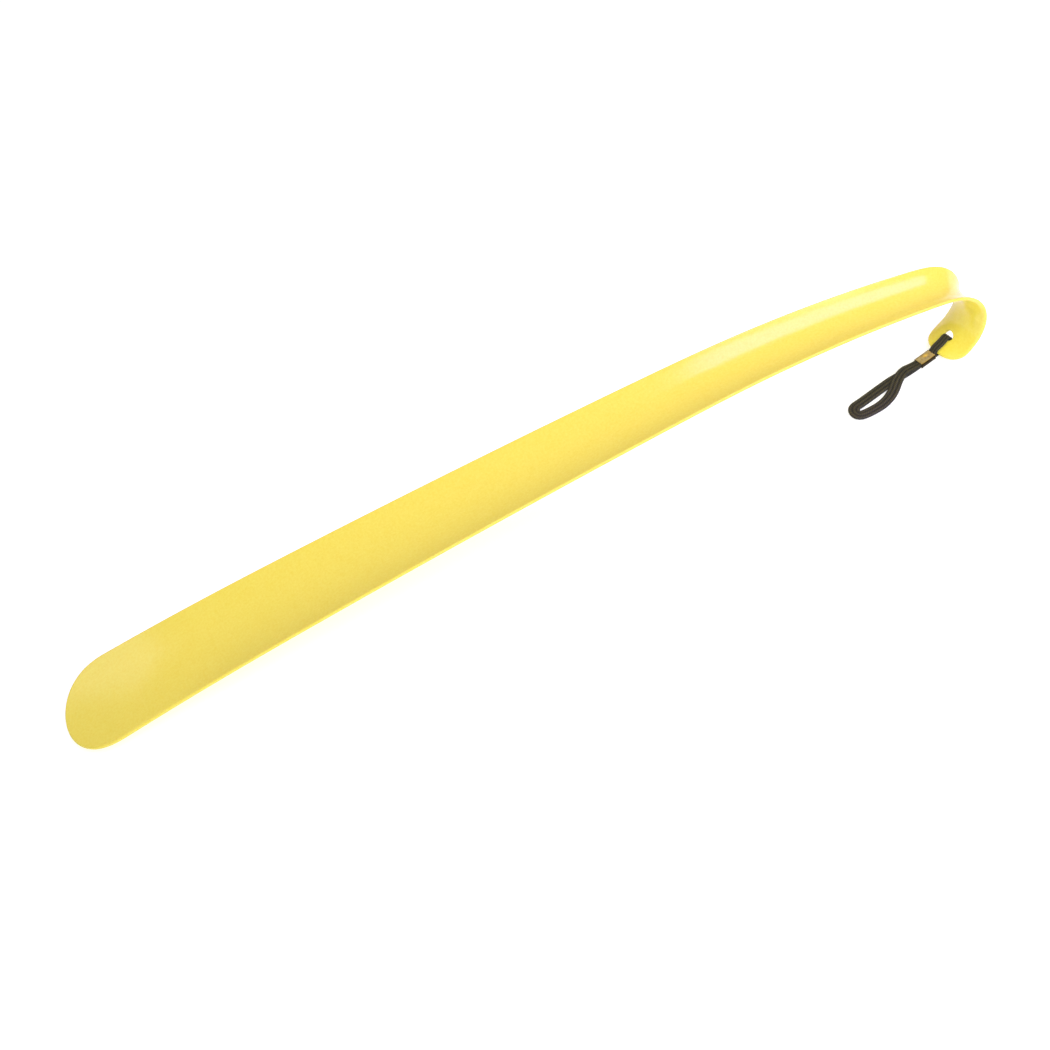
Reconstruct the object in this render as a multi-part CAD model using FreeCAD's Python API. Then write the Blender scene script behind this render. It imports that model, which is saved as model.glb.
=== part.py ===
"""Long shoehorn: a one-piece moulded horn with a curled handle, a flat woven strap and its crimped clip.

Millimetres, +Z up. The horn lies as it does on a table, blade tip and curled end down, back of the curl up.
X runs from the blade to the handle, Y across the blade. The origin is under the middle of the horn.
"""
import FreeCAD
import Part

import math
import os

from FreeCAD import Vector

# The moulding, measured along its middle line from the blade tip
STRIP_LENGTH = 600.0
WALL = 2.4
BLADE_WIDTH = 57.0
HANDLE_WIDTH = 28.0
TONGUE_LENGTH = 31.0
TONGUE_POWER = 2.4
TAPER_END = 547.0
END_RADIUS = HANDLE_WIDTH / 2
END_CENTRE = STRIP_LENGTH - END_RADIUS

# How it bends: distance along the strip, radius of the bend there
BENDS = [(0, 1450), (100, 1450), (150, 5000), (350, 5000), (400, 640), (514, 640), (532, 27.0), (600, 27.0)]
# How deep the channel is: distance along the strip, depth
CHANNEL = [(0, 1.6), (31, 1.6), (120, 5.0), (480, 4.6), (600, 4.8)]

HOLE_DIAMETER = 7.0

# The strap, a flat woven tape, and how far round from the blade's side it leaves the hole
STRAP_WIDTH = 5.4
STRAP_THICK = 1.2
STRAP_TURN = math.radians(14)
LEG_SPACING = 1.2

# The clip, a strip of metal folded round both legs and pressed
CLIP_START = 12.0
CLIP_LENGTH = 10.4
CLIP_WALL = 0.4
CLIP_SLACK = 0.1
CLIP_SEAM = 0.3
CLIP_LIFT = 1.85
LOOP_HINGE_GAP = 0.75
DIMPLE_RADIUS = 3.0
DIMPLE_DEPTH = 0.25

# The eye: distance from the hole towards the clip, height. Over the rim, down the hole, back underneath
EYE_ROUTE = [
    (10.75, 4.3),
    (9.7, 5.3),
    (4.8, 6.45),
    (0.9, 8.6),
    (-1.7, 5.6),
    (0.2, 3.7),
    (3.8, 2.35),
    (8.5, 0.85),
    (10.2, 0.9),
]

# The free loop, lying on the table: out of the clip on top, round, and back in underneath
LOOP_ROUTE = [
    (233.8, -5.6, 2.45),
    (229.4, -6.5, 3.2),
    (224.0, -7.0, 3.6),
    (218.0, -10.6, 2.6),
    (212.0, -16.4, 1.0),
    (204.0, -20.9, 0.8),
    (195.0, -22.2, 0.8),
    (186.9, -22.2, 0.8),
    (186.9, -14.8, 0.8),
    (194.5, -13.1, 0.8),
    (206.0, -10.2, 0.8),
    (217.0, -7.8, 0.8),
    (227.0, -6.8, 0.95),
    (233.8, -5.6, 1.25),
]
ARC_SHARE = 0.45

# Stations for the skin, and points across it
TONGUE_STATIONS = 12
SHAFT_STEP = 6.0
ACROSS = 9
FINE_STEP = 0.5
END_MARGIN = 0.25
SEW_GAP = 0.01

# Search for the pose at rest
MOST_TURN = 0.4
HALVINGS = 40


def from_table(table, s):
    """The value at s on the straight lines between a table's rows."""
    for (s0, v0), (s1, v1) in zip(table, table[1:]):
        if s <= s1:
            return v0 + (v1 - v0) * (s - s0) / (s1 - s0)
    return table[-1][1]


def curvature(s):
    """One over the bend radius at s, changing evenly between the rows of BENDS."""
    return from_table([(place, 1 / radius) for place, radius in BENDS], s)


def middle_line():
    """Rows of s, x, z, slope every FINE_STEP along the strip, bending downwards towards the handle."""
    rows = [(0.0, 0.0, 0.0, 0.0)]
    for i in range(round(STRIP_LENGTH / FINE_STEP)):
        s, x, z, slope = rows[-1]
        turned = slope - curvature(s + FINE_STEP / 2) * FINE_STEP
        mean = (slope + turned) / 2
        rows.append((s + FINE_STEP, x + FINE_STEP * math.cos(mean), z + FINE_STEP * math.sin(mean), turned))
    return rows


def half_width(s):
    """Half the moulding's width at s: rounded tongue, long taper, round end."""
    taper = min(max((s - TONGUE_LENGTH) / (TAPER_END - TONGUE_LENGTH), 0.0), 1.0)
    wide = (BLADE_WIDTH + (HANDLE_WIDTH - BLADE_WIDTH) * taper) / 2
    if s < TONGUE_LENGTH:
        return wide * math.sqrt(1 - (1 - s / TONGUE_LENGTH) ** TONGUE_POWER)
    if s > END_CENTRE:
        return math.sqrt(END_RADIUS**2 - (s - END_CENTRE) ** 2)
    return wide


def full_half_width(s):
    """Half the width that the channel's depth is measured on, which ignores the rounded ends."""
    taper = min(max((s - TONGUE_LENGTH) / (TAPER_END - TONGUE_LENGTH), 0.0), 1.0)
    return (BLADE_WIDTH + (HANDLE_WIDTH - BLADE_WIDTH) * taper) / 2


def stations():
    """Distances along the strip, crowded towards the two rounded ends."""
    turns = [math.pi / 2 * i / TONGUE_STATIONS for i in range(TONGUE_STATIONS)]
    tongue = [TONGUE_LENGTH * (1 - math.cos(t)) + END_MARGIN * math.cos(t) for t in turns]
    count = round((END_CENTRE - TONGUE_LENGTH) / SHAFT_STEP)
    shaft = [TONGUE_LENGTH + (END_CENTRE - TONGUE_LENGTH) * i / count for i in range(count)]
    end = [END_CENTRE + (END_RADIUS - END_MARGIN) * math.sin(t) for t in turns]
    return tongue + shaft + end + [STRIP_LENGTH - END_MARGIN]


def skin_point(row, across, lift):
    """A point of the skin at a row of the middle line, across from -1 to 1, lift above mid-wall."""
    s, x, z, slope = row
    y = across * half_width(s)
    drop = from_table(CHANNEL, s) * (1 - (y / full_half_width(s)) ** 2)
    rise = lift - drop
    return Vector(x - math.sin(slope) * rise, y, z + math.cos(slope) * rise)


def row_at(rows, s):
    """The middle line's row at s, between the two nearest rows."""
    i = min(int(s / FINE_STEP), len(rows) - 2)
    part = s / FINE_STEP - i
    return tuple(a + (b - a) * part for a, b in zip(rows[i], rows[i + 1]))


def skin_grid(rows, lift):
    """The skin's points as rows of points across the strip."""
    places = [2 * i / (ACROSS - 1) - 1 for i in range(ACROSS)]
    return [[skin_point(row_at(rows, s), a, lift) for a in places] for s in stations()]


def skin_face(grid):
    """One smooth face through a grid of points."""
    surface = Part.BSplineSurface()
    surface.interpolate(grid)
    return surface


def rim_wall(upper, lower):
    """The narrow wall between the same edge of the two skins."""
    edges = [Part.Wire([curve.toShape()]) for curve in (upper, lower)]
    return Part.makeLoft(edges, False, True).Faces[0]


def moulding(rows):
    """The moulding's closed solid, before its hole."""
    top = skin_face(skin_grid(rows, WALL / 2))
    bottom = skin_face(skin_grid(rows, -WALL / 2))
    u0, u1, v0, v1 = top.bounds()
    walls = [rim_wall(top.uIso(u), bottom.uIso(u)) for u in (u0, u1)]
    walls += [rim_wall(top.vIso(v), bottom.vIso(v)) for v in (v0, v1)]
    shell = Part.makeShell([top.toShape(), bottom.toShape()] + walls)
    shell.sewShape(SEW_GAP)
    solid = Part.makeSolid(Part.Shell(shell.Faces))
    if solid.Volume < 0:
        solid.reverse()
    return solid


def hole(rows):
    """The cylinder that cuts the strap's hole, square to the wall in the middle of the round end."""
    s, x, z, slope = row_at(rows, END_CENTRE)
    across_wall = Vector(-math.sin(slope), 0, math.cos(slope))
    return Part.makeCylinder(HOLE_DIAMETER / 2, 4 * END_RADIUS, Vector(x, 0, z) - across_wall * 2 * END_RADIUS,
                             across_wall)


def lowest(points, turn):
    """The lowest height among points after a turn about Y, in radians, blade tip up for a positive turn."""
    return min(p.z * math.cos(turn) + p.x * math.sin(turn) for p in points)


def resting_turn(rows):
    """The turn about Y that brings the blade tip and the curled end down to one table."""
    points = [p for lift in (-WALL / 2, WALL / 2) for line in skin_grid(rows, lift) for p in line]
    middle = max(p.x for p in points) / 2
    blade = [p for p in points if p.x < middle]
    handle = [p for p in points if p.x >= middle]
    low, high = -MOST_TURN, MOST_TURN
    for _ in range(HALVINGS):
        turn = (low + high) / 2
        if lowest(blade, turn) > lowest(handle, turn):
            low = turn
        else:
            high = turn
    return turn


def rest(shape, turn):
    """The shape turned to its pose at rest, about the blade tip."""
    shape.rotate(Vector(0, 0, 0), Vector(0, 1, 0), -math.degrees(turn))
    return shape


def horn_and_hole():
    """The finished moulding at rest over the origin, and the middle of its hole on the inner face."""
    rows = middle_line()
    turn = resting_turn(rows)
    horn = rest(moulding(rows).cut(hole(rows)), turn)
    box = horn.optimalBoundingBox()
    shift = Vector(-(box.XMin + box.XMax) / 2, 0, -box.ZMin)
    horn.translate(shift)
    mouth = skin_point(row_at(rows, END_CENTRE), 0, -WALL / 2)
    place = rest(Part.Vertex(mouth), turn).Point + shift
    return horn, place


def beside_hole(mouth, along, height, across=0.0):
    """A point along the strap's line from the hole towards the clip, at a height above the table."""
    away = Vector(-math.cos(STRAP_TURN), -math.sin(STRAP_TURN), 0)
    side = Vector(math.sin(STRAP_TURN), -math.cos(STRAP_TURN), 0)
    return Vector(mouth.x, mouth.y, 0) + away * along + side * across + Vector(0, 0, height)


def corner(before, point, after):
    """Start, middle, end and radius of the arc that rounds a route's point."""
    back, on = before - point, after - point
    half_turn = (math.pi - back.getAngle(on)) / 2
    reach = ARC_SHARE * min(back.Length, on.Length)
    radius = reach / math.tan(half_turn)
    back.normalize()
    on.normalize()
    inward = (back + on).normalize()
    middle = point + inward * (radius / math.cos(half_turn) - radius)
    return point + back * reach, middle, point + on * reach, radius


def route_wire(points):
    """Straight runs joined by tangent arcs, and the arcs' radii."""
    edges, radii, start = [], [], points[0]
    for before, point, after in zip(points, points[1:], points[2:]):
        first, middle, last, radius = corner(before, point, after)
        edges.append(Part.LineSegment(start, first).toShape())
        edges.append(Part.Arc(first, middle, last).toShape())
        radii.append(round(radius, 1))
        start = last
    edges.append(Part.LineSegment(start, points[-1]).toShape())
    return Part.Wire(edges), radii


def tape(name, points, steady, across):
    """Flat tape swept along a route: steady is the direction it turns about, across its width's at the start."""
    path, radii = route_wire(points)
    up = (points[1] - points[0]).cross(across).normalize()
    corners = []
    for a, b in ((-1, -1), (1, -1), (1, 1), (-1, 1), (-1, -1)):
        corners.append(points[0] + across * (a * STRAP_WIDTH / 2) + up * (b * STRAP_THICK / 2))
    sweep = Part.BRepOffsetAPI.MakePipeShell(path)
    sweep.setBiNormalMode(steady)
    sweep.add(Part.makePolygon(corners), False, False)
    sweep.build()
    sweep.makeSolid()
    solid = sweep.shape()
    print(name, "length", round(path.Length, 1), "radii", radii)
    print(name, "volume", round(solid.Volume), "section by length", round(STRAP_WIDTH * STRAP_THICK * path.Length))
    return solid


def eye_loop(mouth):
    """The strap's eye: over the rim, down through the hole and back underneath to the clip."""
    side = beside_hole(mouth, 0, 0, 1) - beside_hole(mouth, 0, 0)
    return tape("strap_eye_loop", [beside_hole(mouth, along, height) for along, height in EYE_ROUTE], side, side)


def hand_loop(mouth):
    """The strap's free loop on the table, its two legs rounded off together where they fold at the clip."""
    points = [Vector(*place) for place in LOOP_ROUTE]
    upright = Vector(0, 0, 1)
    tail = tape("strap_hand_loop", points, upright, upright.cross(points[1] - points[0]).normalize())
    fold = beside_hole(mouth, CLIP_START + CLIP_LENGTH + LOOP_HINGE_GAP, CLIP_LIFT, -STRAP_WIDTH / 2)
    side = beside_hole(mouth, 0, 0, 1) - beside_hole(mouth, 0, 0)
    return tail.fuse(Part.makeCylinder((STRAP_THICK + LEG_SPACING) / 2, STRAP_WIDTH, fold, side))


def beside_clip(shape, mouth):
    """A shape drawn along +X from the clip's near end, moved to the clip's place."""
    shape.rotate(Vector(0, 0, 0), Vector(0, 0, 1), 180 + math.degrees(STRAP_TURN))
    shape.translate(beside_hole(mouth, CLIP_START, CLIP_LIFT))
    return shape


def centred_box(length, width, height):
    """A box along +X from the origin, centred in Y and Z."""
    return Part.makeBox(length, width, height, Vector(0, -width / 2, -height / 2))


def pinched_legs():
    """The strap's two legs where the clip presses them together, clear of the rounded fold at the far end."""
    return centred_box(CLIP_LENGTH - LOOP_HINGE_GAP, STRAP_WIDTH, STRAP_THICK + LEG_SPACING)


def clip():
    """The clip: a sheet metal sleeve with rounded folds, a butt seam underneath and one pressed dimple on top."""
    inner_width = STRAP_WIDTH + CLIP_SLACK
    inner_height = STRAP_THICK + LEG_SPACING + CLIP_SLACK
    sleeve = centred_box(CLIP_LENGTH, inner_width + 2 * CLIP_WALL, inner_height + 2 * CLIP_WALL)
    folds = [edge for edge in sleeve.Edges if edge.Length > CLIP_LENGTH - CLIP_SLACK]
    sleeve = sleeve.makeFillet(CLIP_WALL, folds)
    sleeve = sleeve.cut(centred_box(CLIP_LENGTH, inner_width, inner_height))
    sleeve = sleeve.cut(Part.makeBox(CLIP_LENGTH, CLIP_SEAM, inner_height, Vector(0, -CLIP_SEAM / 2, -inner_height)))
    top = inner_height / 2 + CLIP_WALL
    middle = Vector(CLIP_LENGTH / 2, 0, top + DIMPLE_RADIUS - DIMPLE_DEPTH)
    return sleeve.cut(Part.makeSphere(DIMPLE_RADIUS, middle))


def main():
    """Write one STEP file for each piece."""
    horn, mouth = horn_and_hole()
    pieces = {
        "moulded_horn": horn,
        "strap_eye_loop": eye_loop(mouth),
        "strap_inside_clip": beside_clip(pinched_legs(), mouth),
        "crimp_clip": beside_clip(clip(), mouth),
        "strap_hand_loop": hand_loop(mouth),
    }
    os.makedirs("parts", exist_ok=True)
    for name, shape in pieces.items():
        solid = shape.Solids[0]
        box = solid.optimalBoundingBox()
        print(name, len(shape.Solids), solid.isValid(), round(solid.Volume, 1), box)
        solid.exportStep("parts/" + name + ".step")


main()
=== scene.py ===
# %% [markdown]
# # A long shoehorn, piece by piece
# The horn is one plastic moulding that rests like a low arch on its blade tip and its curled end.
# A flat woven strap passes through a hole in the round end, and a small folded brass clip holds its two legs.
# Everything is in metres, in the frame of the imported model, so each piece is made straight in its place.

# %% Load the frame
import bpy
import math
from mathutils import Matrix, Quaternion, Vector


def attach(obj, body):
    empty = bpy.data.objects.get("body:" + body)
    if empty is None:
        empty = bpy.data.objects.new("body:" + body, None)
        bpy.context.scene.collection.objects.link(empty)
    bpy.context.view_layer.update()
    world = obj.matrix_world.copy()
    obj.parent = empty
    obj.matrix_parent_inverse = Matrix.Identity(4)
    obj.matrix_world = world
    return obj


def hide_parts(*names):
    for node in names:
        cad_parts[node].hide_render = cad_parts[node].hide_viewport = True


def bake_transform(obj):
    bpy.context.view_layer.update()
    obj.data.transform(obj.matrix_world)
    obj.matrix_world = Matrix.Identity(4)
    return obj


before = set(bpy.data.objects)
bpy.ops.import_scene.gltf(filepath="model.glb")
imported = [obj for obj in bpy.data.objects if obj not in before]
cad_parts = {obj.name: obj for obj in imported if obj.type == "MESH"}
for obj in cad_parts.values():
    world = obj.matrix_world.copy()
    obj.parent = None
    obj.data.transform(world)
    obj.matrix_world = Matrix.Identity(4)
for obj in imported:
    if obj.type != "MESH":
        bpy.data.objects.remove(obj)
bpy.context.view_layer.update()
MM = 0.001

# %% [markdown]
# ## The camera
# A long thin thing shows best from well above and a little to one side, with the camera tipped so that it
# runs from corner to corner. Place, aim and roll say that more plainly than three turning angles do, so the
# camera is set from those. The Standard view keeps a bright yellow strong, where the default view would
# wash it out.

# %% Camera
CAMERA_PLACE = Vector((-0.0825, -0.4851, 0.6187))
CAMERA_AIM = Vector((0.0983, 0.6159, -0.7817))
CAMERA_ROLL = math.radians(-16.35)
CAMERA_LENS = 49.37

lens = bpy.data.cameras.new("camera")
lens.lens = CAMERA_LENS
lens.sensor_width = 36.0
camera = bpy.data.objects.new("camera", lens)
bpy.context.scene.collection.objects.link(camera)
camera.location = CAMERA_PLACE
camera.rotation_mode = "QUATERNION"
camera.rotation_quaternion = CAMERA_AIM.to_track_quat("-Z", "Y") @ Quaternion((0, 0, 1), CAMERA_ROLL)
bpy.context.scene.camera = camera
bpy.context.scene.view_settings.view_transform = "Standard"
print("camera", round((CAMERA_PLACE.length), 3), "m from the middle of the horn")

# %% [markdown]
# ## Small helpers
# Node trees are easier to read as a list of steps. One function adds any node, sets its properties and fills
# its sockets: a value is typed in, and another node's socket is linked. A second function runs a geometry
# tree once and keeps the plain mesh, because the finished model has to hold ordinary meshes.

# %% Node helper
def add_node(tree, kind, sockets=None, **settings):
    """A new node: settings are its properties, and sockets its inputs, each a value or a socket to link."""
    node = tree.nodes.new(kind)
    for name, value in settings.items():
        setattr(node, name, value)
    for socket, value in (sockets or {}).items():
        if isinstance(value, bpy.types.NodeSocket):
            tree.links.new(value, node.inputs[socket])
        else:
            node.inputs[socket].default_value = value
    return node


def geometry_tree(name, inputs):
    """An empty geometry tree with named inputs, and the identifier of each input's socket."""
    tree = bpy.data.node_groups.new(name, "GeometryNodeTree")
    tree.interface.new_socket("Geometry", in_out="INPUT", socket_type="NodeSocketGeometry")
    tree.interface.new_socket("Geometry", in_out="OUTPUT", socket_type="NodeSocketGeometry")
    names = {}
    for label, kind in inputs.items():
        names[label] = tree.interface.new_socket(label, in_out="INPUT", socket_type=kind).identifier
    return tree, names


def run_tree(piece, tree, names, values):
    """Run a tree once on a piece and leave the plain mesh that it made."""
    modifier = piece.modifiers.new(tree.name, "NODES")
    modifier.node_group = tree
    for label, value in values.items():
        modifier[names[label]] = value
    seen = bpy.context.evaluated_depsgraph_get()
    made = bpy.data.meshes.new_from_object(piece.evaluated_get(seen), preserve_all_data_layers=True,
                                           depsgraph=seen)
    piece.modifiers.remove(modifier)
    piece.data = made
    made.shade_smooth()
    print(piece.name, len(made.vertices), "points,", len(made.polygons), "faces")
    return piece


def new_piece(name, data):
    """An object at the origin that holds a mesh or a curve."""
    piece = bpy.data.objects.new(name, data)
    bpy.context.scene.collection.objects.link(piece)
    return piece


# %% [markdown]
# ## Colour
# Colour charts and screens give colours as sRGB hex values, but shading is worked out on linear light. One
# function turns the first into the second, and every material uses it.

# %% Colour helper
def hex_colour(text):
    """Linear RGBA from an sRGB hex value."""
    parts = [int(text[i:i + 2], 16) / 255 for i in (1, 3, 5)]
    return (*[p / 12.92 if p <= 0.04045 else ((p + 0.055) / 1.055) ** 2.4 for p in parts], 1.0)


# %% [markdown]
# ## Black strap material: nylon, woven
# The strap is a narrow tape of spun nylon, dyed black and woven with three thick warp cords that run
# lengthwise. Dyed nylon is never quite black. Along the top of each cord the colour is a painted warm grey
# highlight, and the hollows between cords are painted dark as painted shade. The pattern follows the tape,
# so it reads the tape's own UV map, which is in metres along and across it. The real threads are about
# 0.3 mm, too fine to show, so each pick is drawn 1.1 mm long.

# %% Strap material
PICK_LENGTH = 1.1 * MM
CORD_WIDTH = 1.8 * MM


def woven_nylon():
    """Nylon, woven: near-black warp cords, painted paler on their tops as a painted highlight and darker
    between them as painted shade, with soft sheen and no clear highlight of its own.
    """
    material = bpy.data.materials.new("nylon_woven_black")
    material.use_nodes = True
    tree = material.node_tree
    tree.nodes.clear()
    place = add_node(tree, "ShaderNodeTexCoord")
    apart = add_node(tree, "ShaderNodeSeparateXYZ", {0: place.outputs["UV"]})
    along = add_node(tree, "ShaderNodeMath", {0: apart.outputs[0], 1: math.tau / PICK_LENGTH},
                     operation="MULTIPLY")
    across = add_node(tree, "ShaderNodeMath", {0: apart.outputs[1], 1: math.tau / CORD_WIDTH},
                      operation="MULTIPLY")
    slant = add_node(tree, "ShaderNodeMath", {0: along.outputs[0], 1: across.outputs[0]}, operation="ADD")
    picks = add_node(tree, "ShaderNodeMath", {0: slant.outputs[0]}, operation="SINE")
    cords = add_node(tree, "ShaderNodeMath", {0: across.outputs[0]}, operation="COSINE")
    fuzz = add_node(tree, "ShaderNodeTexNoise", {"Vector": place.outputs["Object"], "Scale": 1 / (0.7 * MM),
                                                 "Detail": 3.0})
    weave = add_node(tree, "ShaderNodeMath", {0: picks.outputs[0], 1: 0.22, 2: fuzz.outputs["Fac"]},
                     operation="MULTIPLY_ADD")
    # Each cord's top is painted paler, a painted highlight, and the hollows between cords are painted dark, a
    # painted shade; the same value, with the picks, is also the bump height.
    cord_sheen_and_weave = add_node(tree, "ShaderNodeMath", {0: cords.outputs[0], 1: 0.30, 2: weave.outputs[0]},
                    operation="MULTIPLY_ADD")
    ramp = add_node(tree, "ShaderNodeValToRGB", {0: cord_sheen_and_weave.outputs[0]})
    ramp.color_ramp.elements[0].position = 0.25
    ramp.color_ramp.elements[0].color = hex_colour("#080706")
    ramp.color_ramp.elements[1].position = 0.95
    ramp.color_ramp.elements[1].color = hex_colour("#423C25")
    bump = add_node(tree, "ShaderNodeBump", {"Height": cord_sheen_and_weave.outputs[0], "Strength": 0.5,
                                             "Distance": 0.08 * MM})
    shader = add_node(tree, "ShaderNodeBsdfPrincipled",
                      {"Base Color": ramp.outputs[0], "Normal": bump.outputs[0], "Roughness": 0.62,
                       "IOR": 1.53, "Sheen Weight": 0.03, "Sheen Roughness": 0.5})
    add_node(tree, "ShaderNodeOutputMaterial", {0: shader.outputs[0]})
    return material


STRAP_MATERIAL = woven_nylon()
print("made", STRAP_MATERIAL.name)

# %% [markdown]
# ## The strap's line
# The strap is one length of tape. It comes out of the clip, lies on the table in a long narrow loop and goes
# back into the clip underneath itself. A NURBS line of order three, drawn by a few control points, bends the
# way a limp tape does: evenly, with no corners. The tape itself follows points read from that line.
# The loop's control points are (x, y, z), and the eye's are distance along the strap and height.

# %% Routes of the hand loop and of the eye
LOOP_ROUTE = [
    (239.5, -4.2, 2.45),
    (233.8, -5.6, 2.45),
    (229.4, -6.5, 3.2),
    (224.0, -7.0, 3.6),
    (218.0, -10.6, 2.6),
    (212.0, -16.4, 1.1),
    (204.0, -20.7, 0.9),
    (195.0, -22.0, 0.9),
    (187.2, -21.8, 0.9),
    (187.2, -15.0, 0.9),
    (194.5, -13.6, 0.9),
    (206.0, -10.6, 0.9),
    (217.0, -7.9, 0.9),
    (227.0, -6.8, 0.95),
    (233.8, -5.6, 1.25),
    (239.5, -4.2, 1.25),
]
EYE_ROUTE = [
    (17.2, 2.45),
    (13.4, 2.45),
    (11.2, 3.6),
    (9.7, 5.3),
    (4.8, 6.45),
    (0.9, 8.6),
    (-1.7, 5.6),
    (0.2, 3.7),
    (3.8, 2.35),
    (8.5, 0.85),
    (11.6, 0.95),
    (13.6, 1.25),
    (17.2, 1.25),
]
HOLE_MOUTH = Vector((256.224, 0.0, 8.32)) * MM
STRAP_TURN = math.radians(14)
AWAY = Vector((-math.cos(STRAP_TURN), -math.sin(STRAP_TURN), 0))
SIDE = Vector((math.sin(STRAP_TURN), -math.cos(STRAP_TURN), 0))
STEPS_A_POINT = 24


def by_strap(along, across=0.0, height=0.0):
    """A point by the strap: along it from the hole, across it and above the table, all in metres."""
    return Vector((HOLE_MOUTH.x, 0, 0)) + AWAY * along + SIDE * across + Vector((0, 0, height))


def strap_place(along, height):
    """A point over the strap's middle line, from millimetres along it and above the table."""
    return by_strap(along * MM, height=height * MM)


def smooth_line(name, points):
    """The points of a route's NURBS line, read from Blender's own curve, and the line's length."""
    data = bpy.data.curves.new(name, "CURVE")
    data.dimensions = "3D"
    data.resolution_u = STEPS_A_POINT
    spline = data.splines.new("NURBS")
    spline.points.add(len(points) - 1)
    for knot, point in zip(spline.points, points):
        knot.co = (*point, 1.0)
    spline.order_u = 3
    spline.use_endpoint_u = True
    line = new_piece(name, data)
    seen = bpy.context.evaluated_depsgraph_get()
    mesh = bpy.data.meshes.new_from_object(line.evaluated_get(seen), depsgraph=seen)
    found = [v.co.copy() for v in mesh.vertices]
    bpy.data.objects.remove(line)
    length = sum((b - a).length for a, b in zip(found, found[1:]))
    print(name, len(found), "points,", round(length / MM, 1), "mm long")
    return found, length


loop_line, loop_length = smooth_line("hand_loop_line", [Vector(p) * MM for p in LOOP_ROUTE])
eye_points = [strap_place(along, height) for along, height in EYE_ROUTE]
eye_line, eye_length = smooth_line("eye_line", eye_points)

# %% [markdown]
# ## The tape
# Woven tape has a constant section, so it is a section swept along a line, which a geometry tree does with
# Curve to Mesh. The section is drawn with the rounded edges and the three warp cords of the real tape, so the
# cords are real shape and catch the light. The tree also raises the picks of the weave a little and writes
# the UV map in metres. The hand loop keeps its section level, and the eye turns over without twisting.

# %% Tape section
TAPE_WIDTH = 5.4 * MM
TAPE_THICK = 1.2 * MM
TAPE_CORDS = 3
SECTION_POINTS = 80
SIDE_POWER = 0.75
TOP_POWER = 0.45
CORD_HEIGHT = 0.34
PICK_HEIGHT = 0.035 * MM
LOOP_SLACK = 1.18
EYE_SLACK = 0.95


def tape_section():
    """A closed curve: the tape's section, a flat oval with one low swell for each warp cord."""
    data = bpy.data.curves.new("tape_section", "CURVE")
    data.dimensions = "3D"
    spline = data.splines.new("POLY")
    spline.points.add(SECTION_POINTS - 1)
    for i, knot in enumerate(spline.points):
        turn = math.tau * i / SECTION_POINTS
        wide = math.copysign(abs(math.cos(turn)) ** SIDE_POWER, math.cos(turn))
        high = math.copysign(abs(math.sin(turn)) ** TOP_POWER, math.sin(turn))
        swell = 1 - CORD_HEIGHT * (1 + math.cos(math.pi * TAPE_CORDS * (wide + 1))) / 2
        knot.co = (TAPE_WIDTH / 2 * wide, TAPE_THICK / 2 * high * swell, 0, 1)
    spline.use_cyclic_u = True
    return new_piece("tape_section", data)


section = tape_section()

# %% Tape tree
TAPE_INPUTS = {"Section": "NodeSocketObject", "Section Width": "NodeSocketFloat",
               "Pick Length": "NodeSocketFloat", "Pick Height": "NodeSocketFloat",
               "Slack Width": "NodeSocketFloat", "Material": "NodeSocketMaterial"}


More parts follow.
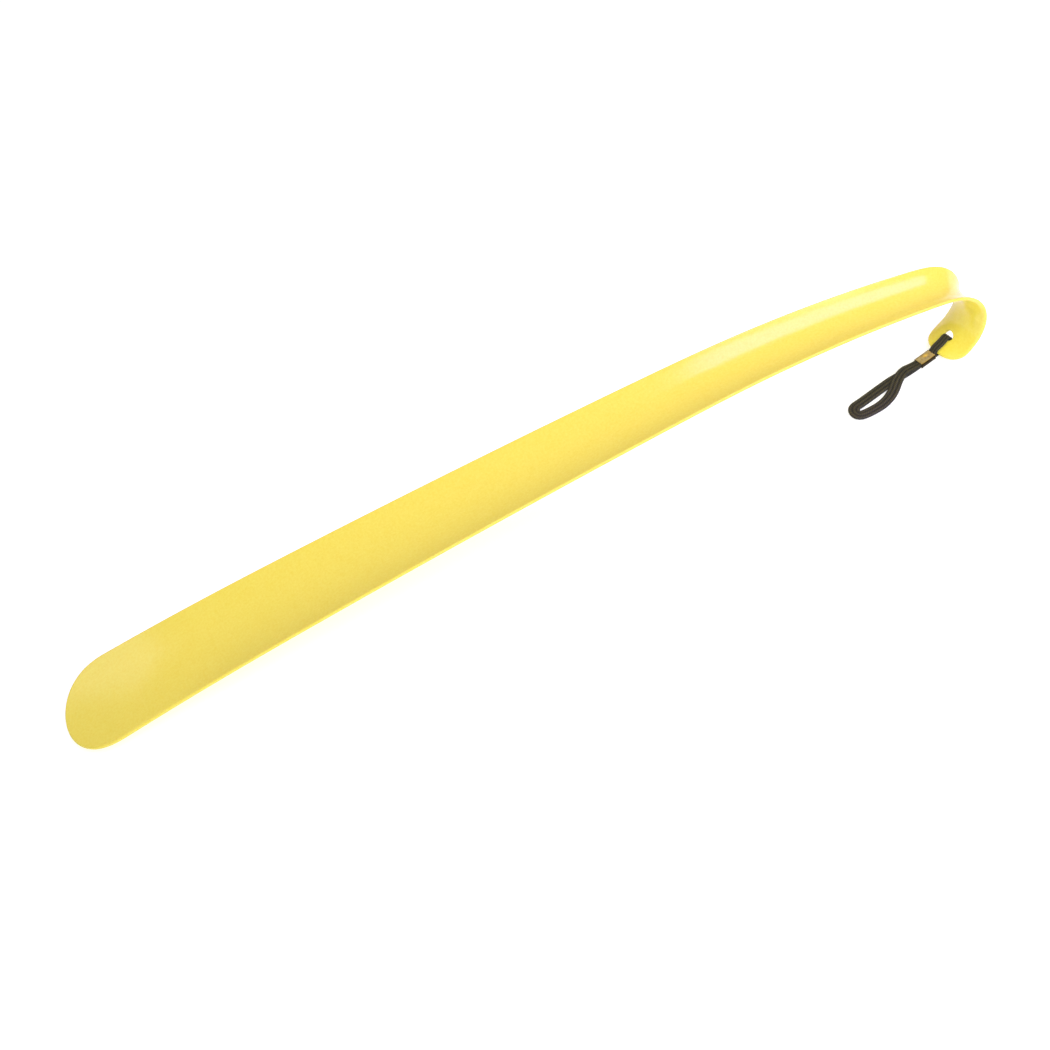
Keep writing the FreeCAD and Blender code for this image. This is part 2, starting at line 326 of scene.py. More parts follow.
def tape_tree(name, upright):
    """A tree that sweeps the section along a line of edges, level if upright, else with the least twist."""
    tree, names = geometry_tree(name, TAPE_INPUTS)
    given = add_node(tree, "NodeGroupInput")
    line = add_node(tree, "GeometryNodeMeshToCurve", {0: given.outputs["Geometry"]})
    mode = "Z_UP" if upright else "MINIMUM_TWIST"
    level = add_node(tree, "GeometryNodeSetCurveNormal", {0: line.outputs[0]}, mode=mode)
    place = add_node(tree, "GeometryNodeSplineParameter")
    held = add_node(tree, "GeometryNodeCaptureAttribute", {0: level.outputs[0]})
    held.capture_items.new("FLOAT", "Along")
    tree.links.new(place.outputs["Length"], held.inputs[1])
    shape = add_node(tree, "GeometryNodeObjectInfo", {0: given.outputs["Section"]})
    round_it = add_node(tree, "GeometryNodeCaptureAttribute", {0: shape.outputs["Geometry"]})
    round_it.capture_items.new("FLOAT", "Across")
    knot = add_node(tree, "GeometryNodeInputPosition")
    sides = add_node(tree, "ShaderNodeSeparateXYZ", {0: knot.outputs[0]})
    tree.links.new(sides.outputs[0], round_it.inputs[1])
    share = add_node(tree, "ShaderNodeMath", {0: place.outputs["Factor"], 1: math.pi}, operation="MULTIPLY")
    bell = add_node(tree, "ShaderNodeMath", {0: share.outputs[0]}, operation="SINE")
    slack = add_node(tree, "ShaderNodeMapRange", {"Value": bell.outputs[0], "From Min": 0.15, "From Max": 0.6,
                                                  "To Min": 1.0, "To Max": given.outputs["Slack Width"]})
    sweep = add_node(tree, "GeometryNodeCurveToMesh", {0: held.outputs[0], 1: round_it.outputs[0],
                                                       "Scale": slack.outputs[0], "Fill Caps": True})
    beat = add_node(tree, "ShaderNodeMath", {0: held.outputs[1], 1: given.outputs["Pick Length"]},
                    operation="DIVIDE")
    beat_turn = add_node(tree, "ShaderNodeMath", {0: beat.outputs[0], 1: math.tau}, operation="MULTIPLY")
    step = add_node(tree, "ShaderNodeMath", {0: round_it.outputs[1], 1: given.outputs["Section Width"]},
                    operation="DIVIDE")
    step_turn = add_node(tree, "ShaderNodeMath", {0: step.outputs[0], 1: math.tau * TAPE_CORDS,
                                                  2: beat_turn.outputs[0]}, operation="MULTIPLY_ADD")
    wave = add_node(tree, "ShaderNodeMath", {0: step_turn.outputs[0]}, operation="SINE")
    rise = add_node(tree, "ShaderNodeMath", {0: wave.outputs[0], 1: given.outputs["Pick Height"]},
                    operation="MULTIPLY")
    outwards = add_node(tree, "GeometryNodeInputNormal")
    shift = add_node(tree, "ShaderNodeVectorMath", {0: outwards.outputs[0], "Scale": rise.outputs[0]},
                     operation="SCALE")
    raised = add_node(tree, "GeometryNodeSetPosition", {0: sweep.outputs[0], "Offset": shift.outputs[0]})
    flat = add_node(tree, "ShaderNodeCombineXYZ", {0: held.outputs[1], 1: round_it.outputs[1]})
    mapped = add_node(tree, "GeometryNodeStoreNamedAttribute", {0: raised.outputs[0], "Name": "UVMap",
                                                                "Value": flat.outputs[0]},
                      data_type="FLOAT2", domain="CORNER")
    solid = add_node(tree, "GeometryNodeRealizeInstances", {0: mapped.outputs[0]})
    dressed = add_node(tree, "GeometryNodeSetMaterial", {0: solid.outputs[0],
                                                         "Material": given.outputs["Material"]})
    add_node(tree, "NodeGroupOutput", {0: dressed.outputs[0]})
    return tree, names


def tape(name, points, upright, slack):
    """A piece of tape along a line of points; slack is how much wider it spreads where nothing pinches it."""
    mesh = bpy.data.meshes.new(name)
    mesh.from_pydata(points, [(i, i + 1) for i in range(len(points) - 1)], [])
    piece = new_piece(name, mesh)
    tree, names = tape_tree(name + "_tree", upright)
    values = {"Section": section, "Section Width": TAPE_WIDTH, "Pick Length": PICK_LENGTH,
              "Pick Height": PICK_HEIGHT, "Slack Width": slack, "Material": STRAP_MATERIAL}
    return run_tree(piece, tree, names, values)


hand_loop = tape("strap_hand_loop_tape", loop_line, True, LOOP_SLACK)
eye = tape("strap_eye_tape", eye_line, False, EYE_SLACK)
bpy.data.objects.remove(section)

# %% [markdown]
# ## The clip
# The clip starts as a small strip of thin brass. It is wrapped round both legs of the strap with its two
# ends meeting underneath, and a press squeezes it flat and leaves one dent on top. So the mesh is made the
# same way: a sheet bent round a rounded oblong, with a dent, and then given its thickness and soft edges.

# %% Clip material: brass, stamped and lacquered
CLIP_MIDDLE = 17.2 * MM
# Where the painted shade on the two folded sides starts, and where it is full, out from the clip's middle
# line.
FOLD_SHADE_FROM = 2.35 * MM
FOLD_SHADE_TO = 2.85 * MM


def stamped_brass():
    """Brass, stamped and lacquered: warm gold on top, with painted dark brown shade down its two folded
    sides.
    """
    material = bpy.data.materials.new("brass_stamped")
    material.use_nodes = True
    tree = material.node_tree
    tree.nodes.clear()
    place = add_node(tree, "ShaderNodeTexCoord")
    turned = add_node(tree, "ShaderNodeMapping", {"Vector": place.outputs["Object"],
                                                  "Rotation": (0, 0, -STRAP_TURN), "Scale": (1.0, 6.0, 1.0)})
    rubbed = add_node(tree, "ShaderNodeTexNoise", {"Vector": turned.outputs[0], "Scale": 1 / (1.6 * MM),
                                                   "Detail": 4.0})
    stain = add_node(tree, "ShaderNodeTexNoise", {"Vector": place.outputs["Object"], "Scale": 1 / (2.2 * MM),
                                                  "Detail": 2.0, "Roughness": 0.6})
    ramp = add_node(tree, "ShaderNodeValToRGB", {0: stain.outputs["Fac"]})
    ramp.color_ramp.elements[0].position = 0.32
    ramp.color_ramp.elements[0].color = hex_colour("#E2BC74")
    ramp.color_ramp.elements[1].position = 0.62
    ramp.color_ramp.elements[1].color = hex_colour("#F8E0A6")
    # The two long folded sides are painted dark brown, as painted shade where they turn away from the light.
    local = add_node(tree, "ShaderNodeMapping", {"Vector": place.outputs["Object"],
                                                 "Location": by_strap(CLIP_MIDDLE),
                                                 "Rotation": (0, 0, STRAP_TURN)}, vector_type="TEXTURE")
    parts = add_node(tree, "ShaderNodeSeparateXYZ", {0: local.outputs[0]})
    side = add_node(tree, "ShaderNodeMath", {0: parts.outputs[1]}, operation="ABSOLUTE")
    fold = add_node(tree, "ShaderNodeMapRange", {"Value": side.outputs[0], "From Min": FOLD_SHADE_FROM,
                                                 "From Max": FOLD_SHADE_TO})
    fold_shaded = add_node(tree, "ShaderNodeMix", {0: fold.outputs[0], 6: ramp.outputs[0], 7: hex_colour("#2E2210")},
                    data_type="RGBA")
    rough = add_node(tree, "ShaderNodeMapRange", {"Value": rubbed.outputs["Fac"], "To Min": 0.28,
                                                  "To Max": 0.44})
    bump = add_node(tree, "ShaderNodeBump", {"Height": rubbed.outputs["Fac"], "Strength": 0.2,
                                             "Distance": 0.04 * MM})
    shader = add_node(tree, "ShaderNodeBsdfPrincipled",
                      {"Base Color": fold_shaded.outputs[2], "Roughness": rough.outputs[0],
                       "Normal": bump.outputs[0], "Metallic": 1.0})
    add_node(tree, "ShaderNodeOutputMaterial", {0: shader.outputs[0]})
    return material


BRASS_MATERIAL = stamped_brass()
print("made", BRASS_MATERIAL.name)

# %% Clip
CLIP_START = 12.0 * MM
CLIP_LENGTH = 10.4 * MM
CLIP_LIFT = 1.85 * MM
CLIP_WALL = 0.4 * MM
CLIP_WIDE = 6.3 * MM
CLIP_HIGH = 3.3 * MM
CLIP_SEAM = 0.3 * MM
FOLD_RADIUS = 0.75 * MM
DENT_DEPTH = 0.42 * MM
DENT_RADIUS = 1.15 * MM
DENT_PLACE = 0.42
DENT_STRETCH = 1.6
CLIP_FLARE = 0.06
CLIP_ROWS = 40
FOLD_STEPS = 8


def clip_section():
    """The sheet's middle line round the strap, from one side of the seam to the other: (across, height)."""
    wide = (CLIP_WIDE - CLIP_WALL) / 2
    high = (CLIP_HIGH - CLIP_WALL) / 2
    turn = FOLD_RADIUS - CLIP_WALL / 2
    line = [(x, -high) for x in (CLIP_SEAM / 2, wide * 0.25, wide * 0.5, wide - turn)]
    centres = [(wide - turn, turn - high, -90), (wide - turn, high - turn, 0),
               (turn - wide, high - turn, 90), (turn - wide, turn - high, 180)]
    for number, (x, z, start) in enumerate(centres):
        for i in range(1, FOLD_STEPS + 1):
            angle = math.radians(start + 90 * i / FOLD_STEPS)
            line.append((x + turn * math.cos(angle), z + turn * math.sin(angle)))
        if number == 1:
            line += [(wide - turn - (2 * wide - 2 * turn) * i / 24, high) for i in range(1, 24)]
    return line + [(-x, -high) for x in (wide * 0.5, wide * 0.25, CLIP_SEAM / 2)]


def clip_sheet():
    """The clip as a bent sheet, with the press's dent in its top."""
    line = clip_section()
    points, faces = [], []
    top = (CLIP_HIGH - CLIP_WALL) / 2
    for row in range(CLIP_ROWS + 1):
        along = CLIP_WALL / 4 + (CLIP_LENGTH - CLIP_WALL / 2) * row / CLIP_ROWS
        for across, height in line:
            from_dent = math.hypot((along - CLIP_LENGTH * DENT_PLACE) / DENT_STRETCH, across) / DENT_RADIUS
            dent = DENT_DEPTH * math.exp(-from_dent ** 2) if height > top * 0.9 else 0.0
            flare = 1 + CLIP_FLARE * (2 * along / CLIP_LENGTH - 1) ** 10
            points.append(by_strap(CLIP_START + along, across * flare, CLIP_LIFT + height * flare - dent))
    for row in range(CLIP_ROWS):
        for i in range(len(line) - 1):
            a = row * len(line) + i
            faces.append((a, a + 1, a + 1 + len(line), a + len(line)))
    mesh = bpy.data.meshes.new("crimp_clip_sheet")
    mesh.from_pydata(points, [], faces)
    mesh.shade_smooth()
    return mesh


clip = new_piece("crimp_clip_folded", clip_sheet())
clip.data.materials.append(BRASS_MATERIAL)
wall = clip.modifiers.new("wall", "SOLIDIFY")
wall.thickness = CLIP_WALL
wall.offset = 0.0
soft = clip.modifiers.new("edges", "BEVEL")
soft.width = 0.12 * MM
soft.segments = 3
soft.limit_method = "ANGLE"
soft.angle_limit = math.radians(50)
print("clip sheet", len(clip.data.polygons), "faces")

# %% [markdown]
# ## The horn's blank
# The horn is one injection moulding of even wall, and its shape follows a rule: a long flat outline, dished
# across its width and bent along its length. So it is made as a sheet-metal worker would: first a flat blank
# with the right outline, hole and rounded rims, and then one geometry tree that dishes it and bends it.
# The blank is a grid of four-sided faces that follows the outline, with rings round the hole, because even
# faces take a glossy reflection without ripples.

# %% Outline of the blank
STRIP_LENGTH = 600.0
WALL = 2.4
RIM_RADIUS = 0.95
HOLE_RIM = 0.5
BLADE_WIDTH = 57.0
HANDLE_WIDTH = 28.0
TONGUE_LENGTH = 31.0
TONGUE_POWER = 2.4
TAPER_END = 547.0
END_RADIUS = HANDLE_WIDTH / 2
END_CENTRE = STRIP_LENGTH - END_RADIUS
HOLE_RADIUS = 3.5
TIP_HALF = 17.0
TIP_TRIM = 0.12
COLUMNS = 28
TONGUE_ROWS = 18
TONGUE_CROWD = 1.35
SHAFT_STEP = 2.5
PAD_START = 570.0
PAD_SIDE = 7
PAD_ROUND = 44
PAD_RINGS = 9
PAD_CROWD = 0.85
RIM_STEPS = 5
RIM_FLAT = 0.45


def half_width(s):
    """Half the blank's width at s: rounded tongue, then a long straight taper."""
    part = min(max((s - TONGUE_LENGTH) / (TAPER_END - TONGUE_LENGTH), 0.0), 1.0)
    wide = (BLADE_WIDTH + (HANDLE_WIDTH - BLADE_WIDTH) * part) / 2
    if s < TONGUE_LENGTH:
        return wide * math.sqrt(1 - (1 - s / TONGUE_LENGTH) ** TONGUE_POWER)
    return wide


def tip_place(y):
    """How far along the blank the tongue's outline is at y."""
    return TONGUE_LENGTH * (1 - (1 - (2 * y / BLADE_WIDTH) ** 2) ** (1 / TONGUE_POWER))


def edge_out(s, y):
    """The direction straight out of the blank's outline, as (along, across)."""
    step = 0.01
    if s > END_CENTRE:
        out = Vector((s - END_CENTRE, y))
    elif abs(y) <= TIP_HALF and s < TONGUE_LENGTH:
        out = Vector((-1, (tip_place(y + step) - tip_place(y - step)) / (2 * step)))
    else:
        slope = (half_width(s + step) - half_width(s - step)) / (2 * step)
        out = Vector((-slope, math.copysign(1, y)))
    return out.normalized()


def edge_rows():
    """Places along the blank where a row of faces meets its two long edges, from the tongue to the pad."""
    first = tip_place(TIP_HALF)
    tongue = []
    for i in range(TONGUE_ROWS):
        part = i / TONGUE_ROWS
        tongue.append(first + (TONGUE_LENGTH - first) * part ** TONGUE_CROWD)
    count = round((PAD_START - TONGUE_LENGTH) / SHAFT_STEP)
    return tongue + [TONGUE_LENGTH + (PAD_START - TONGUE_LENGTH) * i / count for i in range(count + 1)]


print("blank", STRIP_LENGTH, "mm long, tongue row starts at", round(tip_place(TIP_HALF), 1))

# %% Grid of the blank
def round_end_edge():
    """Each place round the edge of the round end, drawn in by the rim, and its way out of the outline."""
    flat = END_RADIUS - RIM_RADIUS - RIM_FLAT
    sides = [PAD_START + (END_CENTRE - PAD_START) * i / PAD_SIDE for i in range(1, PAD_SIDE)]
    edge = [(Vector((s, -flat)), Vector((0, -1))) for s in sides]
    for i in range(PAD_ROUND + 1):
        angle = math.radians(-90 + 180 * i / PAD_ROUND)
        way = Vector((math.cos(angle), math.sin(angle)))
        edge.append((Vector((END_CENTRE, 0)) + way * flat, way))
    return edge + [(Vector((s, flat)), Vector((0, 1))) for s in reversed(sides)]


def blank_net():
    """The blank's flat net: its points, its faces, and its outer and hole loops with each one's way out."""
    points, faces, rows = [], [], []
    places = edge_rows()
    first = places[0]
    for s in places:
        fade = max(0.0, 1 - (s - first) / (2 * TONGUE_LENGTH)) ** 3
        out = edge_out(s, half_width(s))
        end = Vector((s, half_width(s))) - out * (RIM_RADIUS + RIM_FLAT)
        row = []
        for j in range(COLUMNS + 1):
            part = 2 * j / COLUMNS - 1
            bow = (tip_place(part * TIP_HALF) - first) * fade
            row.append(len(points))
            points.append([end.x + bow, end.y * part])
        rows.append(row)
    for j, index in enumerate(rows[0]):
        y = (2 * j / COLUMNS - 1) * TIP_HALF
        out = edge_out(tip_place(y), y)
        inset = Vector((tip_place(y), y)) - out * (RIM_RADIUS + RIM_FLAT)
        points[index] = [inset.x, inset.y]
    for near, far in zip(rows, rows[1:]):
        for j in range(COLUMNS):
            faces.append((near[j], far[j], far[j + 1], near[j + 1]))
    outer = []
    for j, index in enumerate(rows[0]):
        y = (2 * j / COLUMNS - 1) * TIP_HALF
        outer.append((index, edge_out(tip_place(y), y)))
    for s, row in zip(places[1:], rows[1:]):
        outer.append((row[-1], edge_out(s, half_width(s))))
    pad_edge = []
    for place, way in round_end_edge():
        pad_edge.append((len(points), way))
        points.append([place.x, place.y])
    outer += list(reversed(pad_edge))
    for s, row in zip(reversed(places[1:]), reversed(rows[1:])):
        outer.append((row[0], edge_out(s, -half_width(s))))
    loop = list(reversed(rows[-1])) + [index for index, _ in pad_edge]
    centre = Vector((END_CENTRE, 0))
    rings = [loop]
    for step in range(1, PAD_RINGS + 1):
        part = (step / PAD_RINGS) ** PAD_CROWD
        inner = []
        for index in loop:
            start = Vector(points[index])
            stop = centre + (start - centre).normalized() * (HOLE_RADIUS + HOLE_RIM + RIM_FLAT)
            inner.append(len(points))
            place = start.lerp(stop, part)
            points.append([place.x, place.y])
        rings.append(inner)
    for wide, narrow in zip(rings, rings[1:]):
        for i in range(len(wide)):
            j = (i + 1) % len(wide)
            faces.append((wide[i], wide[j], narrow[j], narrow[i]))
    hole = [(index, (centre - Vector(points[index])).normalized()) for index in rings[-1]]
    return points, faces, outer, hole


def tip_trim(s):
    """How far the tongue's tip is drawn in, so that its rounded rim ends where the square-cut wall ends."""
    return TIP_TRIM * max(0.0, 1 - s / TONGUE_LENGTH) ** 2


def rimmed_blank():
    """The blank as a closed solid: the net on both faces, joined round each loop by a rounded rim."""
    net, net_faces, outer, hole = blank_net()
    count = len(net)
    points = [(x, y, WALL / 2) for x, y in net] + [(x, y, -WALL / 2) for x, y in net]
    faces = list(net_faces) + [tuple(i + count for i in reversed(face)) for face in net_faces]
    arc = [math.pi / 2 * i / RIM_STEPS for i in range(1, RIM_STEPS + 1)]
    for loop, radius in ((outer, RIM_RADIUS), (hole, HOLE_RIM)):
        top = [(RIM_FLAT / 2, WALL / 2), (RIM_FLAT, WALL / 2)]
        top += [(RIM_FLAT + radius * math.sin(t), WALL / 2 - radius + radius * math.cos(t)) for t in arc]
        profile = top + [(reach, -height) for reach, height in reversed(top)]
        columns = []
        for index, way in loop:
            column = [index]
            for reach, height in profile:
                column.append(len(points))
                points.append((net[index][0] + way.x * reach, net[index][1] + way.y * reach, height))
            columns.append(column + [index + count])
        for i, column in enumerate(columns):
            after = columns[(i + 1) % len(columns)]
            for k in range(len(column) - 1):
                faces.append((column[k], after[k], after[k + 1], column[k + 1]))
    mesh = bpy.data.meshes.new("horn_blank")
    mesh.from_pydata([Vector((x + tip_trim(x), y, z)) * MM for x, y, z in points], [], faces)
    mesh.validate()
    return mesh


blank = rimmed_blank()
print("blank", len(blank.vertices), "points,", len(blank.polygons), "faces")

# %% [markdown]
# ## The line that the horn is bent along
# Seen from the side, the wall's middle follows a line whose bend changes slowly: a nearly flat blade, a
# nearly straight shaft, a slow curve up to the top and then a tight curl. The line is drawn from its bend
# radii by small steps, as a curve that the tree can sample by distance.

# %% Middle line
BENDS = [(0, 1450), (100, 1450), (150, 5000), (350, 5000), (400, 640), (514, 640), (532, 27.0), (600, 27.0)]
LINE_START = Vector((-271.689, 0.0, 2.6776))
LINE_SLOPE = math.radians(13.1558)
LINE_STEP = 0.5


def bend_at(s):
    """One over the bend radius at s, changing evenly between the rows of BENDS."""
    for (s0, r0), (s1, r1) in zip(BENDS, BENDS[1:]):
        if s <= s1:
            return 1 / r0 + (1 / r1 - 1 / r0) * (s - s0) / (s1 - s0)
    return 1 / BENDS[-1][1]


def middle_line():
    """The wall's middle line, as a curve object."""
    place, slope, s = LINE_START.copy(), LINE_SLOPE, 0.0
    places = [place.copy()]
    while s < STRIP_LENGTH:
        turned = slope - bend_at(s + LINE_STEP / 2) * LINE_STEP
        mean = (slope + turned) / 2
        place += Vector((math.cos(mean), 0, math.sin(mean))) * LINE_STEP
        slope = turned
        s += LINE_STEP
        places.append(place.copy())
    data = bpy.data.curves.new("middle_line", "CURVE")
    data.dimensions = "3D"
    spline = data.splines.new("POLY")
    spline.points.add(len(places) - 1)
    for knot, point in zip(spline.points, places):
        knot.co = (*(point * MM), 1.0)
    print("middle line ends at", [round(v, 1) for v in places[-1]])
    return new_piece("middle_line", data)


bend_line = middle_line()

# %% [markdown]
# ## Horn material: polypropylene, injection moulded
# The horn is a soft yellow plastic, polypropylene or something very like it. Moulded against a fine satin
# tool, it has a broad soft highlight rather than a mirror one, and light goes a little way into it, so shaded
# sides glow a deeper yellow. Flow in the mould leaves a faint cloudiness, and there is the odd dark speck.
# Lengths in the material are in metres, so one noise cell is 1.3 mm of skin and one cloud is 9 mm.

# %% Horn material
def moulded_plastic():
    """Polypropylene, injection moulded: warm yellow, satin, faintly cloudy, with a few dark specks."""
    material = bpy.data.materials.new("polypropylene_moulded_yellow")
    material.use_nodes = True
    tree = material.node_tree
    tree.nodes.clear()
    place = add_node(tree, "ShaderNodeTexCoord")
    cloud = add_node(tree, "ShaderNodeTexNoise", {"Vector": place.outputs["Object"],
                                                  "Scale": 1 / (9 * MM), "Detail": 4.0, "Roughness": 0.6})
    grain = add_node(tree, "ShaderNodeTexNoise", {"Vector": place.outputs["Object"],
                                                  "Scale": 1 / (1.3 * MM), "Detail": 2.0, "Roughness": 0.7})
    both = add_node(tree, "ShaderNodeMath", {0: cloud.outputs["Fac"], 1: 0.22, 2: grain.outputs["Fac"]},
                    operation="MULTIPLY_ADD")
    ramp = add_node(tree, "ShaderNodeValToRGB", {0: both.outputs[0]})
    ramp.color_ramp.elements[0].position = 0.35
    ramp.color_ramp.elements[0].color = hex_colour("#EFDC4C")
    ramp.color_ramp.elements[1].position = 0.85
    ramp.color_ramp.elements[1].color = hex_colour("#F5E75E")
    specks = add_node(tree, "ShaderNodeTexVoronoi", {"Vector": place.outputs["Object"],
                                                     "Scale": 1 / (22 * MM)})
    spot = add_node(tree, "ShaderNodeMapRange", {"Value": specks.outputs["Distance"], "From Min": 0.008,
                                                 "From Max": 0.016, "To Min": 0.7, "To Max": 0.0})
    tint = add_node(tree, "ShaderNodeMix", {0: spot.outputs[0], 6: ramp.outputs[0], 7: hex_colour("#8E7A2A")},
                    data_type="RGBA")
    peel = add_node(tree, "ShaderNodeBump", {"Height": grain.outputs["Fac"], "Strength": 0.25,
                                             "Distance": 0.03 * MM})
    shader = add_node(tree, "ShaderNodeBsdfPrincipled",
                      {"Base Color": tint.outputs[2], "Normal": peel.outputs[0], "Roughness": 0.17,
                       "IOR": 1.49, "Subsurface Weight": 0.12, "Subsurface Radius": (1.0, 0.75, 0.2),
                       "Subsurface Scale": 1.5 * MM})
    add_node(tree, "ShaderNodeOutputMaterial", {0: shader.outputs[0]})
    return material


HORN_MATERIAL = moulded_plastic()
print("made", HORN_MATERIAL.name)

# %% Horn tree: dish the blank and bend it along the line
CHANNEL = [(0, 1.6), (31, 1.6), (120, 5.0), (480, 4.6), (600, 4.8)]
DEEPEST = max(depth for _, depth in CHANNEL)
HORN_INPUTS = {"Middle Line": "NodeSocketObject", "Blade Half Width": "NodeSocketFloat",
               "Handle Half Width": "NodeSocketFloat", "Tongue Length": "NodeSocketFloat",
               "Taper End": "NodeSocketFloat", "Strip Length": "NodeSocketFloat",
               "Deepest": "NodeSocketFloat", "Material": "NodeSocketMaterial"}


def horn_tree():
    """A tree that moves each point of the flat blank (along, across, lift) to its place on the horn."""
    tree, names = geometry_tree("horn_tree", HORN_INPUTS)
    given = add_node(tree, "NodeGroupInput")
    here = add_node(tree, "GeometryNodeInputPosition")
    flat = add_node(tree, "ShaderNodeSeparateXYZ", {0: here.outputs[0]})
    along, across, lift = flat.outputs
    line = add_node(tree, "GeometryNodeObjectInfo", {0: given.outputs["Middle Line"]})
    on_line = add_node(tree, "GeometryNodeSampleCurve", {"Curves": line.outputs["Geometry"], "Length": along},
                       mode="LENGTH")
    square = add_node(tree, "ShaderNodeVectorMath", {0: on_line.outputs["Tangent"], 1: (0.0, 1.0, 0.0)},
                      operation="CROSS_PRODUCT")
    wide = add_node(tree, "ShaderNodeMapRange",
                    {"Value": along, "From Min": given.outputs["Tongue Length"],
                     "From Max": given.outputs["Taper End"], "To Min": given.outputs["Blade Half Width"],
                     "To Max": given.outputs["Handle Half Width"]})
    share = add_node(tree, "ShaderNodeMath", {0: across, 1: wide.outputs[0]}, operation="DIVIDE")
    squared = add_node(tree, "ShaderNodeMath", {0: share.outputs[0], 1: share.outputs[0]},
                       operation="MULTIPLY")
    inwards = add_node(tree, "ShaderNodeMath", {0: 1.0, 1: squared.outputs[0]}, operation="SUBTRACT")
    part = add_node(tree, "ShaderNodeMath", {0: along, 1: given.outputs["Strip Length"]},
                    operation="DIVIDE")
    depth = add_node(tree, "ShaderNodeFloatCurve", {"Value": part.outputs[0]})
    knots = depth.mapping.curves[0].points
    while len(knots) < len(CHANNEL):
        knots.new(0.5, 0.5)
    for knot, (s, value) in zip(knots, CHANNEL):
        knot.location = (s / STRIP_LENGTH, value / DEEPEST)
        knot.handle_type = "AUTO_CLAMPED"
    depth.mapping.update()
    dish = add_node(tree, "ShaderNodeMath", {0: depth.outputs[0], 1: inwards.outputs[0]},
                    operation="MULTIPLY")
    drop = add_node(tree, "ShaderNodeMath", {0: dish.outputs[0], 1: given.outputs["Deepest"]},
                    operation="MULTIPLY")
    rise = add_node(tree, "ShaderNodeMath", {0: lift, 1: drop.outputs[0]}, operation="SUBTRACT")
    up = add_node(tree, "ShaderNodeVectorMath", {0: square.outputs[0], "Scale": rise.outputs[0]},
                  operation="SCALE")
    sideways = add_node(tree, "ShaderNodeCombineXYZ", {1: across})
    raised = add_node(tree, "ShaderNodeVectorMath", {0: on_line.outputs["Position"], 1: up.outputs[0]})
    there = add_node(tree, "ShaderNodeVectorMath", {0: raised.outputs[0], 1: sideways.outputs[0]})
    bent = add_node(tree, "GeometryNodeSetPosition", {0: given.outputs["Geometry"],
                                                      "Position": there.outputs[0]})
    solid = add_node(tree, "GeometryNodeRealizeInstances", {0: bent.outputs[0]})
    dressed = add_node(tree, "GeometryNodeSetMaterial", {0: solid.outputs[0],
                                                         "Material": given.outputs["Material"]})
    add_node(tree, "NodeGroupOutput", {0: dressed.outputs[0]})
    return tree, names


horn = new_piece("horn_moulding", blank)
tree, names = horn_tree()
sizes = {"Middle Line": bend_line, "Blade Half Width": BLADE_WIDTH / 2 * MM,
         "Handle Half Width": HANDLE_WIDTH / 2 * MM, "Tongue Length": TONGUE_LENGTH * MM,
         "Taper End": TAPER_END * MM, "Strip Length": STRIP_LENGTH * MM, "Deepest": DEEPEST * MM,
         "Material": HORN_MATERIAL}
run_tree(horn, tree, names, sizes)
bpy.data.objects.remove(bend_line)
low = [round(min(v.co[i] for v in horn.data.vertices) / MM, 2) for i in range(3)]
high = [round(max(v.co[i] for v in horn.data.vertices) / MM, 2) for i in range(3)]
print("horn from", low, "to", high, "mm")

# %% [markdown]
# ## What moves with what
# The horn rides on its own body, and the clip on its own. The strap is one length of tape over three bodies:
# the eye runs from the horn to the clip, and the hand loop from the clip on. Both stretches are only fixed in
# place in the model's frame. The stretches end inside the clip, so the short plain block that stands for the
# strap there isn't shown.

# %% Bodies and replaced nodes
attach(horn, "horn")
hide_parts("moulded_horn")
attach(clip, "clip")
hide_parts("crimp_clip")
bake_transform(eye)
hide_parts("strap_eye_loop", "strap_inside_clip")
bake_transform(hand_loop)
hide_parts("strap_hand_loop")
print("hand loop", round(loop_length / MM, 1), "mm, eye", round(eye_length / MM, 1), "mm")

# %% [markdown]
# ## Floor and light
# The horn lies on a white table with no hard shadow. A pale floor that glows a little, as a light table does,
# a plain sky and three large soft lights do that. The long light on the right, a pale lilac, is the one that
# runs a pale stripe along the far wall of the channel.

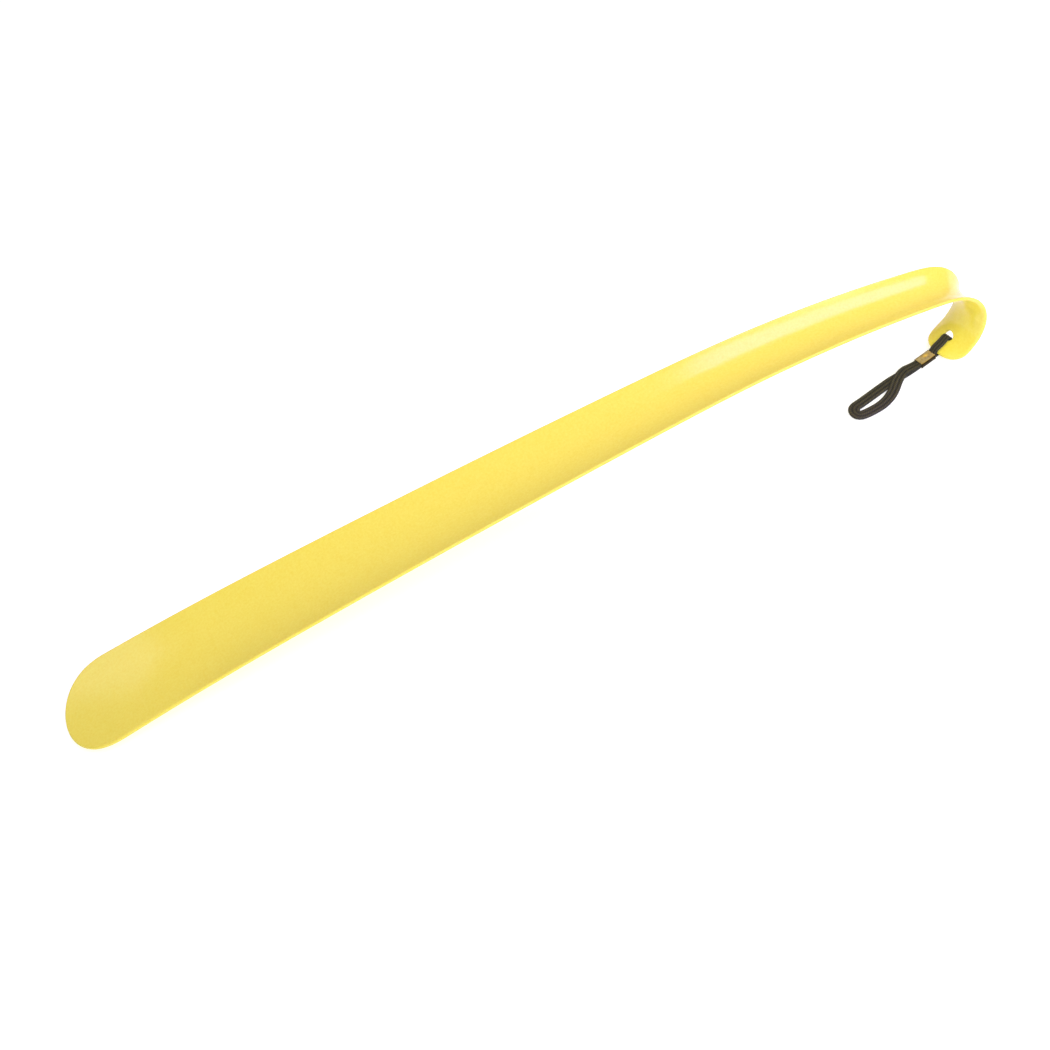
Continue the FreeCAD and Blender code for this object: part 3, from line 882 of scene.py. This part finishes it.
# %% Floor
FLOOR_REACH = 6.0
corners = [(x * FLOOR_REACH, y * FLOOR_REACH, 0) for x, y in ((-1, -1), (1, -1), (1, 1), (-1, 1))]
floor_mesh = bpy.data.meshes.new("floor")
floor_mesh.from_pydata(corners, [], [(0, 1, 2, 3)])
floor = new_piece("floor", floor_mesh)
paper = bpy.data.materials.new("paper_matt_white")
paper.use_nodes = True
paper_shader = paper.node_tree.nodes["Principled BSDF"]
paper_shader.inputs["Base Color"].default_value = hex_colour("#D2D2D0")
paper_shader.inputs["Roughness"].default_value = 0.9
paper_shader.inputs["Specular IOR Level"].default_value = 0.1
paper_shader.inputs["Emission Color"].default_value = hex_colour("#FFFFFF")
paper_shader.inputs["Emission Strength"].default_value = 0.58
floor_mesh.materials.append(paper)

# %% Lights
def soft_light(name, place, target, size, power, colour="#FFFFFF"):
    """An oblong area light at a place, turned to a target."""
    data = bpy.data.lights.new(name, "AREA")
    data.shape = "RECTANGLE"
    data.size, data.size_y = size
    data.energy = power
    data.color = hex_colour(colour)[:3]
    light = bpy.data.objects.new(name, data)
    bpy.context.scene.collection.objects.link(light)
    light.location = place
    light.rotation_mode = "QUATERNION"
    light.rotation_quaternion = (Vector(target) - Vector(place)).to_track_quat("-Z", "Y")
    return light


soft_light("long_softbox", (0.90, 0.17, 1.5), (0.90, 0.17, 0), (1.30, 0.62), 16.5, "#BE92FF")
soft_light("front_softbox", (0.35, -0.7, 1.0), (0.1, 0, 0), (1.2, 0.9), 13.9, "#F4F4FF")
soft_light("back_softbox", (-1.27, 1.14, 1.58), (-0.22, 0, 0), (0.5, 0.5), 1.3)
world = bpy.data.worlds.new("studio")
bpy.context.scene.world = world
world.use_nodes = True
sky = world.node_tree
way = add_node(sky, "ShaderNodeTexCoord")
heights = add_node(sky, "ShaderNodeSeparateXYZ", {0: way.outputs["Generated"]})
glow = add_node(sky, "ShaderNodeMapRange", {"Value": heights.outputs[2], "From Min": 0.0, "From Max": 0.45,
                                            "To Min": 0.24, "To Max": 0.42})
sky.nodes["Background"].inputs["Color"].default_value = hex_colour("#FFFFFF")
sky.links.new(glow.outputs[0], sky.nodes["Background"].inputs["Strength"])
